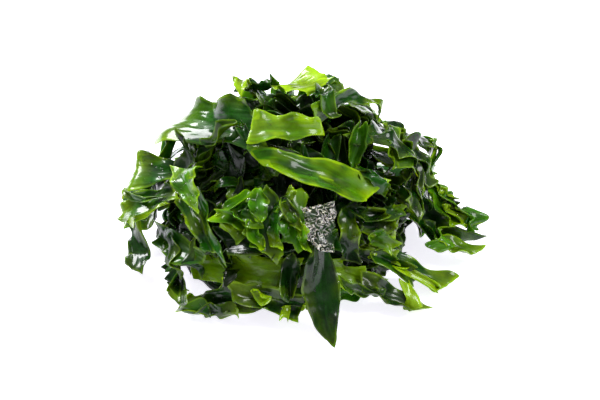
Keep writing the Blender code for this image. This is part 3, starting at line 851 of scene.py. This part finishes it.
def random_scraps(kind, tree, count, draw):
    """Lays this many scraps on what the tree holds, joined in one piece for each green."""
    made = {green: [] for green in sorted(set(kind.greens))}
    for number in range(count):
        place, outward = scrap_place(tree, draw, kind.rises, kind.bearings)
        ahead = outward.orthogonal().normalized()
        ahead.rotate(Matrix.Rotation(draw.uniform(0, 2 * math.pi), 3, outward))
        long, wide = draw.uniform(*SCRAP_LENGTHS), draw.uniform(*SCRAP_WIDTHS)
        lifts = draw.uniform(*kind.lifts), draw.uniform(*kind.lifts)
        sheet = scrap_sheet(tree, place, outward, ahead, long, wide, lifts, draw)
        tip = 0.0 if kind.buried else draw.choice(SCRAP_TIPS)
        edge = draw.uniform(*(BURIED_EDGES if kind.buried else SCRAP_EDGES))
        scrap = scrap_piece(f"{kind.label}_{number}", sheet, tip, edge, kind.buried, draw)
        made[kind.greens[number % len(kind.greens)]].append(scrap)
    finish_scraps(kind.label, made, ROUGH if kind.buried else COARSE)


class KELP_OT_inner_scraps(bpy.types.Operator):
    """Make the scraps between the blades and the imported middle, and those round its foot"""

    bl_idname = "kelp.inner_scraps"
    bl_label = "Inner scraps"

    def execute(self, context):
        draw = random.Random(SEED)
        tree = tree_of([SOLIDS[MIDDLE]])
        random_scraps(INNER, tree, context.scene.kelp_sizes.inner_scraps, draw)
        random_scraps(FOOT, tree, context.scene.kelp_sizes.foot_scraps, draw)
        return {"FINISHED"}


class KELP_OT_outer_scraps(bpy.types.Operator):
    """Make the scraps that lie on the blades at the back"""

    bl_idname = "kelp.outer_scraps"
    bl_label = "Outer scraps"

    def execute(self, context):
        draw = random.Random(SEED + 1)
        random_scraps(OUTER, tree_of_blades(), context.scene.kelp_sizes.outer_scraps, draw)
        return {"FINISHED"}


@dataclass
class Scrap:
    """A small piece placed by the photo: its middle there in pixels, its direction in degrees, its size in
    metres, its green, how lime its tip is, how far its ends are lifted and how much painted shade darkens
    it."""

    x: float
    y: float
    turn: float
    long: float
    wide: float
    green: str = "leaf_green"
    tip: float = 0.0
    lifts: tuple = (0.0, 0.001)
    buried: float = 0.0


# The small pieces told apart in the photo, and some that close gaps between the blades
FRONT_SCRAPS = (
    Scrap(325, 88, -60, 0.011, 0.008),
    Scrap(348, 124, -16, 0.024, 0.006, tip=0.6),
    Scrap(386, 128, -30, 0.011, 0.006, "bright_green"),
    Scrap(356, 145, -75, 0.015, 0.008, "bright_green"),
    Scrap(222, 152, 60, 0.012, 0.009, "bright_green", 0.3),
    Scrap(235, 172, -8, 0.024, 0.005, "deep_green", 0.4),
    Scrap(228, 163, -12, 0.020, 0.004, "leaf_green", 0.4),
    Scrap(240, 182, -4, 0.018, 0.005, "leaf_green", 0.5),
    Scrap(238, 205, 120, 0.011, 0.005, "bright_green", 1.0),
    Scrap(258, 234, 60, 0.012, 0.005, "bright_green", 1.0),
    Scrap(284, 200, -50, 0.012, 0.005, "leaf_green", 1.0),
    Scrap(302, 236, 80, 0.011, 0.004, "bright_green", 1.0),
    Scrap(266, 285, 20, 0.008, 0.005, "lime_green"),
    Scrap(284, 316, 100, 0.006, 0.004, "lime_green"),
    Scrap(449, 190, 30, 0.010, 0.007, "lime_green"),
    Scrap(462, 204, 60, 0.010, 0.006, "bright_green", 1.0),
    Scrap(452, 213, -20, 0.010, 0.006, "leaf_green", 0.6),
    Scrap(471, 205, 10, 0.006, 0.003, "deep_green"),
    Scrap(413, 300, 80, 0.009, 0.007, "lime_green"),
    Scrap(413, 274, 30, 0.018, 0.004, "lime_green"),
    Scrap(368, 246, 10, 0.011, 0.005, "lime_green"),
    Scrap(142, 199, 188, 0.020, 0.004, "leaf_green", 0.5),
    Scrap(152, 188, 176, 0.018, 0.004, "deep_green", 0.4),
    Scrap(222, 196, 100, 0.011, 0.006, "leaf_green", 0.8),
    Scrap(246, 190, 60, 0.013, 0.007, "leaf_green", 0.5),
    Scrap(262, 206, 80, 0.014, 0.008, "bright_green", 0.3),
    Scrap(275, 228, 95, 0.015, 0.006, "leaf_green", 1.0),
    Scrap(292, 214, 60, 0.014, 0.006, "deep_green", 0.5),
    Scrap(297, 222, 50, 0.012, 0.005, "leaf_green", 0.9),
    Scrap(250, 218, 20, 0.012, 0.007, "leaf_green", 0.3),
    Scrap(236, 217, 200, 0.012, 0.006, "bright_green", 0.9),
    Scrap(172, 258, 80, 0.018, 0.007, "deep_green"),
    Scrap(186, 262, 85, 0.016, 0.006, "deep_green"),
    Scrap(162, 266, 170, 0.012, 0.006, "bright_green", 1.0),
    Scrap(168, 283, 110, 0.010, 0.006, "leaf_green", 1.0),
    Scrap(204, 300, 165, 0.014, 0.009, "leaf_green", 1.0),
    Scrap(218, 310, -15, 0.016, 0.006, "deep_green", 0.5),
    Scrap(290, 272, 95, 0.016, 0.009, "deep_green"),
    Scrap(336, 222, 75, 0.017, 0.005),
    Scrap(364, 215, 5, 0.016, 0.007, "deep_green"),
    Scrap(386, 213, -20, 0.012, 0.007, "leaf_green", 0.5),
    Scrap(374, 238, 30, 0.013, 0.007, "bright_green", 1.0),
    Scrap(401, 196, 60, 0.018, 0.010),
    Scrap(416, 188, 70, 0.021, 0.007, "deep_green"),
    Scrap(440, 184, -30, 0.008, 0.005, "lime_green"),
    Scrap(447, 197, 20, 0.012, 0.009, "bright_green"),
    Scrap(440, 215, 35, 0.010, 0.005, "lime_green"),
    Scrap(463, 218, 80, 0.010, 0.007, "bright_green"),
    Scrap(428, 236, -10, 0.012, 0.005, "bright_green", 1.0),
    Scrap(412, 244, 75, 0.017, 0.009, "deep_green"),
    Scrap(378, 255, 12, 0.018, 0.007, "deep_green", 0.8),
    Scrap(390, 262, 30, 0.020, 0.008),
    Scrap(306, 318, 100, 0.007, 0.004, "lime_green"),
    Scrap(222, 137, -10, 0.018, 0.005),
    Scrap(190, 150, -10, 0.017, 0.009),
    Scrap(195, 164, -30, 0.015, 0.009, "deep_green"),
    Scrap(246, 135, 60, 0.011, 0.006),
    Scrap(240, 160, 15, 0.012, 0.006, "deep_green"),
    Scrap(258, 186, 8, 0.018, 0.006),
    Scrap(270, 100, -70, 0.014, 0.009, "leaf_green", 0.3, (0.0, 0.006)),
    Scrap(286, 103, -85, 0.016, 0.012, "bright_green", 0.6, (0.0, 0.009)),
    Scrap(306, 101, -80, 0.016, 0.012, "bright_green", 0.5, (0.0, 0.010)),
    Scrap(325, 97, -100, 0.013, 0.009, "leaf_green", 0.0, (0.0, 0.002)),
    Scrap(305, 109, 35, 0.020, 0.004, "leaf_green", 0.4),
    Scrap(336, 112, 70, 0.012, 0.008),
    Scrap(328, 140, -22, 0.026, 0.007, "deep_green"),
    # A near-black scrap with painted shade, standing for the shadow in a hollow of the bright band
    Scrap(235, 270, -20, 0.009, 0.006, "deep_green", buried=0.9),
    Scrap(345, 292, 5, 0.018, 0.007, "bright_green"),
    Scrap(360, 288, 25, 0.016, 0.007, "leaf_green"),
    Scrap(389, 268, 20, 0.015, 0.008, "deep_green"),
    Scrap(398, 152, 10, 0.024, 0.012, "deep_green"),
    Scrap(420, 160, 30, 0.022, 0.012, "deep_green"),
    Scrap(380, 160, 60, 0.020, 0.010, "deep_green"),
    Scrap(362, 165, 70, 0.015, 0.006, "deep_green"),
    Scrap(386, 165, 80, 0.017, 0.009, "deep_green"),
    Scrap(375, 178, 30, 0.016, 0.008),
    Scrap(443, 152, 80, 0.014, 0.007, "bright_green"),
    Scrap(438, 170, -30, 0.012, 0.008),
    Scrap(452, 168, -20, 0.007, 0.005, "lime_green"),
    Scrap(216, 160, 20, 0.014, 0.007, "leaf_green", 0.3),
    Scrap(232, 150, -25, 0.013, 0.008, "bright_green", 0.4),
    Scrap(250, 168, 5, 0.018, 0.006, "leaf_green", 0.4),
    Scrap(222, 176, -10, 0.022, 0.006, "leaf_green", 0.6),
    Scrap(243, 188, -5, 0.020, 0.006, "leaf_green", 0.5),
    Scrap(272, 178, 20, 0.016, 0.007, "leaf_green", 0.2),
    Scrap(205, 172, 40, 0.014, 0.007),
)


def camera_axes(stage):
    """The camera's directions back, to the right and up."""
    back = Vector((0.0, -math.cos(stage.elevation), math.sin(stage.elevation)))
    right = Vector((1.0, 0.0, 0.0))
    return back, right, back.cross(right)


def camera_place(stage):
    """Where the camera stands."""
    return Vector((stage.aside, 0.0, stage.target)) + camera_axes(stage)[0] * stage.distance


def through_pixel(stage, x, y):
    """Where the camera is, and the direction in which it sees this pixel of the photo."""
    back, right, up = camera_axes(stage)
    per_pixel = SENSOR / stage.lens / PHOTO_SIZE[0]
    aim = right * (x - PHOTO_SIZE[0] / 2) * per_pixel - up * (y - PHOTO_SIZE[1] / 2) * per_pixel - back
    return camera_place(stage), aim.normalized()


def seen_place(tree, stage, x, y):
    """The point of what the tree holds at this pixel of the photo or, past the outline, further in."""
    middle = Vector(PHOTO_HEAP)
    wanted = Vector((x, y))
    for step in range(PATIENCE):
        nearer = wanted.lerp(middle, step / PATIENCE)
        place = tree.ray_cast(*through_pixel(stage, *nearer))[0]
        if place:
            return place
    raise RuntimeError(f"nothing lies under the small piece at {x}, {y}")


class KELP_OT_front_scraps(bpy.types.Operator):
    """Make the small pieces that are placed by the photo"""

    bl_idname = "kelp.front_scraps"
    bl_label = "Front scraps"

    def execute(self, context):
        draw = random.Random(SEED + 2)
        stage = context.scene.kelp_stage
        tree = tree_of_blades()
        _, right, up = camera_axes(stage)
        made = {scrap.green: [] for scrap in FRONT_SCRAPS}
        for number, scrap in enumerate(FRONT_SCRAPS):
            place = seen_place(tree, stage, scrap.x, scrap.y)
            outward = (place - DOME_CENTRE).normalized()
            turn = math.radians(scrap.turn)
            ahead = right * math.cos(turn) - up * math.sin(turn)
            ahead = (ahead - outward * ahead.dot(outward)).normalized()
            sheet = scrap_sheet(tree, place, outward, ahead, scrap.long, scrap.wide, scrap.lifts, draw)
            name = f"front_scrap_{number}"
            made[scrap.green].append(scrap_piece(name, sheet, scrap.tip, FRONT_EDGE, scrap.buried, draw))
        finish_scraps("front_scraps", made, COARSE)
        return {"FINISHED"}


@dataclass
class Spray:
    """A patch of drops: its middle in the photo and its reach, in pixels, and how many drops it has."""

    x: float
    y: float
    reach: float
    count: int


SPRAYS = (
    Spray(152, 160, 26, 26),
    Spray(190, 187, 20, 40),
    Spray(215, 115, 40, 12),
    Spray(262, 215, 44, 30),
    Spray(318, 178, 50, 14),
    Spray(410, 190, 20, 34),
    Spray(455, 200, 16, 20),
    Spray(213, 300, 26, 20),
    Spray(275, 298, 24, 14),
    Spray(318, 280, 24, 12),
    Spray(375, 222, 26, 16),
    Spray(205, 232, 20, 12),
)


def drop_shape():
    """One flattened drop of water, 1 wide, about the origin."""
    bpy.ops.object.select_all(action="DESELECT")
    bpy.ops.mesh.primitive_ico_sphere_add(subdivisions=2, radius=0.5)
    piece = bpy.context.object
    piece.name = "drop"
    bpy.ops.object.mode_set(mode="EDIT")
    bpy.ops.mesh.select_all(action="SELECT")
    bpy.ops.transform.resize(value=DROP_FORM, center_override=(0.0, 0.0, 0.0))
    bpy.ops.object.mode_set(mode="OBJECT")
    bpy.ops.object.shade_smooth()
    return piece


def water_skin():
    """Clear water, with a faint unevenness."""
    skin = Skin("water")
    uneven = skin.noise(skin.place(), WATER_WAVES, detail=1.0)
    return skin.finish(
        Base_Color=(1.0, 1.0, 1.0, 1.0), Roughness=uneven * 0.04, Transmission_Weight=1.0, IOR=1.33
    )


def drop_on(shape, place, normal, size):
    """A copy of the drop, this wide, that stands on a surface."""
    upward = normal if normal.z > 0 else -normal
    turned = upward.to_track_quat("Z", "Y").to_matrix().to_4x4()
    copy = shape.copy()
    copy.data = shape.data.copy()
    copy.data.transform(Matrix.Translation(place) @ turned @ Matrix.Scale(size, 4))
    bpy.context.scene.collection.objects.link(copy)
    return copy


def spray_hits(tree, stage, draw):
    """Where the drops seen in the photo meet what the tree holds."""
    for spray in SPRAYS:
        for _ in range(spray.count):
            turn, out = draw.uniform(0, 2 * math.pi), spray.reach * math.sqrt(draw.random())
            x, y = spray.x + out * math.cos(turn), spray.y + out * math.sin(turn)
            yield tree.ray_cast(*through_pixel(stage, x, y))


def stray_hits(tree, draw):
    """Where the drops that stand anywhere meet what the tree holds."""
    for _ in range(STRAY_DROPS):
        turn, rise = draw.uniform(0, 2 * math.pi), math.asin(draw.uniform(*DROP_RISES))
        yield cast_inward(tree, direction(turn, rise))


class KELP_OT_drops(bpy.types.Operator):
    """Make the drops of water that stand on the blades"""

    bl_idname = "kelp.drops"
    bl_label = "Drops"

    def execute(self, context):
        draw = random.Random(SEED + 3)
        stage, sizes = context.scene.kelp_stage, context.scene.kelp_sizes
        tree = tree_of(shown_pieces())
        shape = drop_shape()
        hits = [*spray_hits(tree, stage, draw), *stray_hits(tree, draw)]
        drops = []
        for place, normal, _, _ in hits:
            if place is not None and abs(normal.z) >= DROP_STEEPEST:
                drops.append(drop_on(shape, place, normal, sizes.drop * draw.uniform(*DROP_SIZES)))
        bpy.data.objects.remove(shape)
        piece = joined(drops, "drops")
        piece.data.materials.clear()
        piece.data.materials.append(water_skin())
        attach(piece, ROOT)
        return {"FINISHED"}


def floor_skin(colour, glow):
    """A matt white surface with a barely seen grain, lit a little from beneath."""
    skin = Skin("floor")
    grain = skin.noise(skin.place(), FLOOR_GRAIN)
    white = skin.mix(grain, shaded(colour, GRAIN_SHADE), colour)
    return skin.finish(
        Base_Color=white, Roughness=0.6 + grain * 0.1, Emission_Color=white, Emission_Strength=glow
    )


def add_lamp(name, power, place, size, colour):
    """A rectangular lamp at a place, turned to the heap."""
    light = bpy.data.lights.new(name, "AREA")
    light.shape = "RECTANGLE"
    light.size, light.size_y = size
    light.energy = power
    light.color = colour
    made = bpy.data.objects.new(name, light)
    made.location = place
    made.rotation_euler = (Vector(LAMP_TARGET) - Vector(place)).to_track_quat("-Z", "Y").to_euler()
    bpy.context.scene.collection.objects.link(made)


def light_sky(tree, around, overhead):
    """Lights a world from all round by one strength, rising to another overhead."""
    coordinates = tree.nodes.new("ShaderNodeTexCoord")
    parts = tree.nodes.new("ShaderNodeSeparateXYZ")
    strength = tree.nodes.new("ShaderNodeMapRange")
    strength.interpolation_type = "SMOOTHSTEP"
    ends = dict(zip(("From Min", "From Max", "To Min", "To Max"), (*SKY_RISE, around, overhead)))
    for name, value in ends.items():
        strength.inputs[name].default_value = value
    tree.links.new(coordinates.outputs["Generated"], parts.inputs["Vector"])
    tree.links.new(parts.outputs["Z"], strength.inputs["Value"])
    tree.links.new(strength.outputs["Result"], tree.nodes["Background"].inputs["Strength"])
    tree.nodes["Background"].inputs["Color"].default_value = SKY_COLOUR


class KELP_OT_stage(bpy.types.Operator):
    """Make the floor, the lights and the camera"""

    bl_idname = "kelp.stage"
    bl_label = "Stage"

    def execute(self, context):
        stage, colours = context.scene.kelp_stage, context.scene.kelp_colours
        bpy.ops.object.select_all(action="DESELECT")
        bpy.ops.mesh.primitive_plane_add(size=FLOOR_SIZE, location=(0.0, 0.0, 0.0))
        floor = context.object
        floor.name = "floor"
        floor.data.materials.append(floor_skin(tuple(colours.floor), stage.glow))
        floor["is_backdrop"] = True
        add_lamp("key", stage.key, **KEY_LAMP)
        add_lamp("fill", stage.fill, **FILL_LAMP)
        world = bpy.data.worlds.new("studio")
        world.use_nodes = True
        light_sky(world.node_tree, stage.sky, stage.overhead)
        context.scene.world = world
        data = bpy.data.cameras.new("camera")
        data.lens = stage.lens
        data.sensor_width = SENSOR
        camera = bpy.data.objects.new("camera", data)
        camera.location = camera_place(stage)
        camera.rotation_euler = (-camera_axes(stage)[0]).to_track_quat("-Z", "Y").to_euler()
        context.scene.collection.objects.link(camera)
        context.scene.camera = camera
        context.scene.view_settings.view_transform = "Standard"
        return {"FINISHED"}


class KELP_PT_heap(bpy.types.Panel):
    """The pieces of the heap, and the sizes and colours that can be changed"""

    bl_idname = "KELP_PT_heap"
    bl_label = "Heap of cut kelp"
    bl_space_type = "VIEW_3D"
    bl_region_type = "UI"
    bl_category = "Kelp"

    def draw(self, context):
        for group in GROUPS:
            values = getattr(context.scene, group)
            box = self.layout.box()
            for name in values.__annotations__:
                box.prop(values, name)
        for piece in PIECES:
            self.layout.operator(piece.bl_idname)


GROUPS = {"kelp_colours": KelpColours, "kelp_sizes": KelpSizes, "kelp_stage": KelpStage}
PIECES = (
    KELP_OT_stage,
    KELP_OT_middle,
    KELP_OT_blades,
    KELP_OT_inner_scraps,
    KELP_OT_outer_scraps,
    KELP_OT_front_scraps,
    KELP_OT_drops,
)
CLASSES = (*GROUPS.values(), *PIECES, KELP_PT_heap)


def register():
    """Makes the classes and their settings known."""
    for item in CLASSES:
        bpy.utils.register_class(item)
    for name, group in GROUPS.items():
        setattr(bpy.types.Scene, name, PointerProperty(type=group))


def unregister():
    """Takes the settings and the classes away again."""
    for name in GROUPS:
        delattr(bpy.types.Scene, name)
    for item in reversed(CLASSES):
        bpy.utils.unregister_class(item)


def main():
    """Builds the heap piece by piece."""
    register()
    bpy.ops.kelp.stage()
    bpy.ops.kelp.middle()
    bpy.ops.kelp.blades()
    bpy.ops.kelp.inner_scraps()
    bpy.ops.kelp.outer_scraps()
    bpy.ops.kelp.front_scraps()
    bpy.ops.kelp.drops()


if __name__ == "__main__":
    main()
